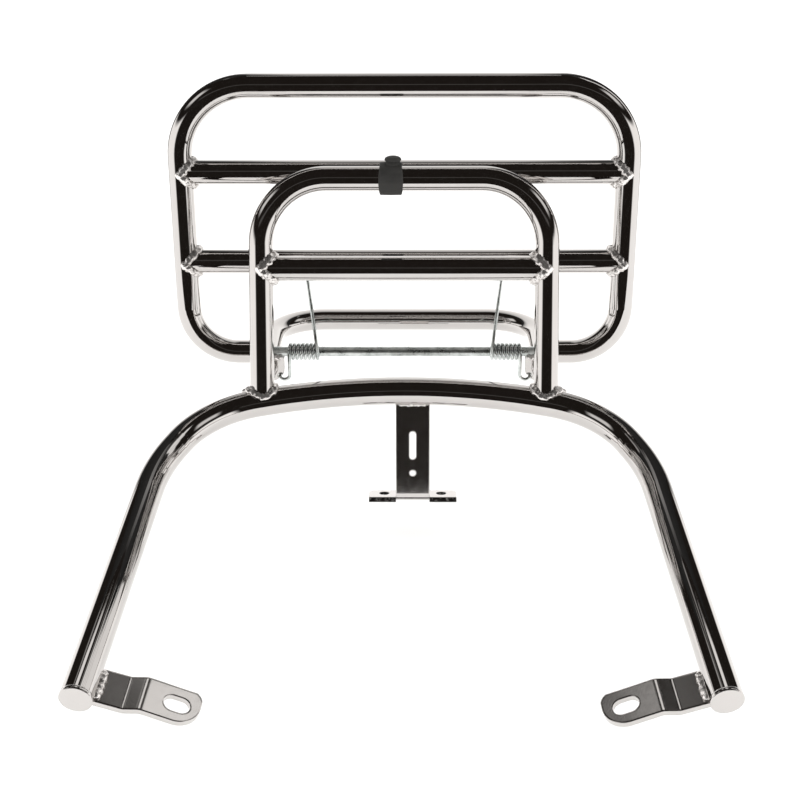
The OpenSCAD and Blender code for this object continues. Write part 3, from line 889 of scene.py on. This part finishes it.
def softStep(tree, value, edge, soft, rising=True):
    node = addNode(tree, "ShaderNodeMapRange", interpolation_type="SMOOTHSTEP")
    node.inputs["From Min"].default_value = edge - soft
    node.inputs["From Max"].default_value = edge + soft
    node.inputs["To Min"].default_value = 0.0 if rising else 1.0
    node.inputs["To Max"].default_value = 1.0 if rising else 0.0
    tree.links.new(value, node.inputs["Value"])
    return node.outputs["Result"]


# reflections see a dark room with pale walls, and everything else gets plain daylight
def makeWorld():
    world = bpy.data.worlds.new("studioRoom")
    bpy.context.scene.world = world
    world.use_nodes = True
    tree = world.node_tree
    tree.nodes.clear()
    coord = addNode(tree, "ShaderNodeTexCoord")
    split = addNode(tree, "ShaderNodeSeparateXYZ")
    tree.links.new(coord.outputs["Generated"], split.inputs["Vector"])
    x, y, z = (split.outputs[k] for k in "XYZ")
    inDegrees = 180 / math.pi
    around = mathNode(tree, "MULTIPLY", mathNode(tree, "ARCTAN2", x, y), inDegrees)
    height = mathNode(tree, "MULTIPLY", mathNode(tree, "ARCSINE", z), inDegrees)
    level = 0.0
    for start, end, sideSoft, bottom, top, topSoft, light in walls:
        part = softStep(tree, around, start, sideSoft)
        part = mathNode(tree, "MULTIPLY", part, softStep(tree, around, end, sideSoft, False))
        part = mathNode(tree, "MULTIPLY", part, softStep(tree, height, top, topSoft, False))
        part = mathNode(tree, "MULTIPLY", part, softStep(tree, height, bottom, topSoft))
        level = mathNode(tree, "MAXIMUM", mathNode(tree, "MULTIPLY", part, light), level)
    bright = addNode(tree, "ShaderNodeMix", data_type="RGBA", blend_type="MULTIPLY")
    bright.inputs["Factor"].default_value = 1.0
    bright.inputs["A"].default_value = (*studio["wallTint"], 1)
    tree.links.new(level, bright.inputs["B"])
    room = addNode(tree, "ShaderNodeMix", data_type="RGBA", blend_type="ADD")
    room.inputs["Factor"].default_value = 1.0
    room.inputs["A"].default_value = (*studio["roomDark"], 1)
    tree.links.new(bright.outputs["Result"], room.inputs["B"])
    mirror = addNode(tree, "ShaderNodeBackground")
    tree.links.new(room.outputs["Result"], mirror.inputs["Color"])
    plain = addNode(tree, "ShaderNodeBackground")
    plain.inputs["Color"].default_value = (*studio["dayTint"], 1)
    plain.inputs["Strength"].default_value = studio["daylight"]
    path = addNode(tree, "ShaderNodeLightPath")
    both = addNode(tree, "ShaderNodeMixShader")
    tree.links.new(path.outputs["Is Glossy Ray"], both.inputs["Fac"])
    tree.links.new(plain.outputs["Background"], both.inputs[1])
    tree.links.new(mirror.outputs["Background"], both.inputs[2])
    out = addNode(tree, "ShaderNodeOutputWorld")
    tree.links.new(both.outputs["Shader"], out.inputs["Surface"])


def makeBoard():
    y, half, low, high = (board[k] for k in ("y", "half", "bottom", "top"))
    points = [(-half, y, low), (half, y, low), (half, y, high), (-half, y, high)]
    material = bpy.data.materials.new("whiteBoard")
    material.use_nodes = True
    tree = material.node_tree
    tree.nodes.clear()
    split = addNode(tree, "ShaderNodeSeparateXYZ")
    tree.links.new(objectPoint(tree), split.inputs["Vector"])
    sideways = mathNode(tree, "ABSOLUTE", split.outputs["X"])
    steeper = mapped(tree, sideways, 1.0, board["sideFall"], board["fallFrom"], half)
    upward = mathNode(tree, "MULTIPLY", split.outputs["Z"], steeper)
    upward = mapped(tree, upward, board["light"], board["topLight"], board["fadeFrom"], high)
    sideways = mapped(tree, sideways, 1.0, board["sideLight"], board["sideFrom"], half)
    light = mathNode(tree, "MULTIPLY", upward, sideways)
    glow = addNode(tree, "ShaderNodeEmission")
    glow.inputs["Color"].default_value = (*studio["wallTint"], 1)
    tree.links.new(light, glow.inputs["Strength"])
    out = addNode(tree, "ShaderNodeOutputMaterial")
    tree.links.new(glow.outputs["Emission"], out.inputs["Surface"])
    piece = meshPiece("white_board", [Vector(p) for p in points], [(0, 1, 2, 3)], material, False)
    piece.visible_camera = False
    piece.visible_diffuse = False
    piece.visible_shadow = False


camera = {
    "fromArch": (7.14, -808.13, 342.39),
    "down": 23.31,
    "turn": -0.68,
    "roll": -0.24,
    "lens": 67.5,
}


def makeCamera():
    data = bpy.data.cameras.new("rackCamera")
    data.lens = camera["lens"]
    data.sensor_width = 36.0
    data.clip_start = 0.01
    data.clip_end = 50.0
    view = bpy.data.objects.new("rackCamera", data)
    bpy.context.scene.collection.objects.link(view)
    a, b, c = (math.radians(camera[k]) for k in ("down", "turn", "roll"))
    ahead = Vector((math.sin(b) * math.cos(a), math.cos(b) * math.cos(a), -math.sin(a)))
    right = Vector((math.cos(b), -math.sin(b), 0))
    up = right.cross(ahead)
    rolledRight = right * math.cos(c) + up * math.sin(c)
    rolledUp = up * math.cos(c) - right * math.sin(c)
    turn = Matrix((rolledRight, rolledUp, -ahead)).transposed()
    view.matrix_world = Matrix.Translation(place(*camera["fromArch"])) @ turn.to_4x4()
    bpy.context.scene.camera = view


makeFloor()
makeBoard()
makeWorld()
makeCamera()
bpy.context.scene.view_settings.view_transform = "Standard"
print("studio ready")
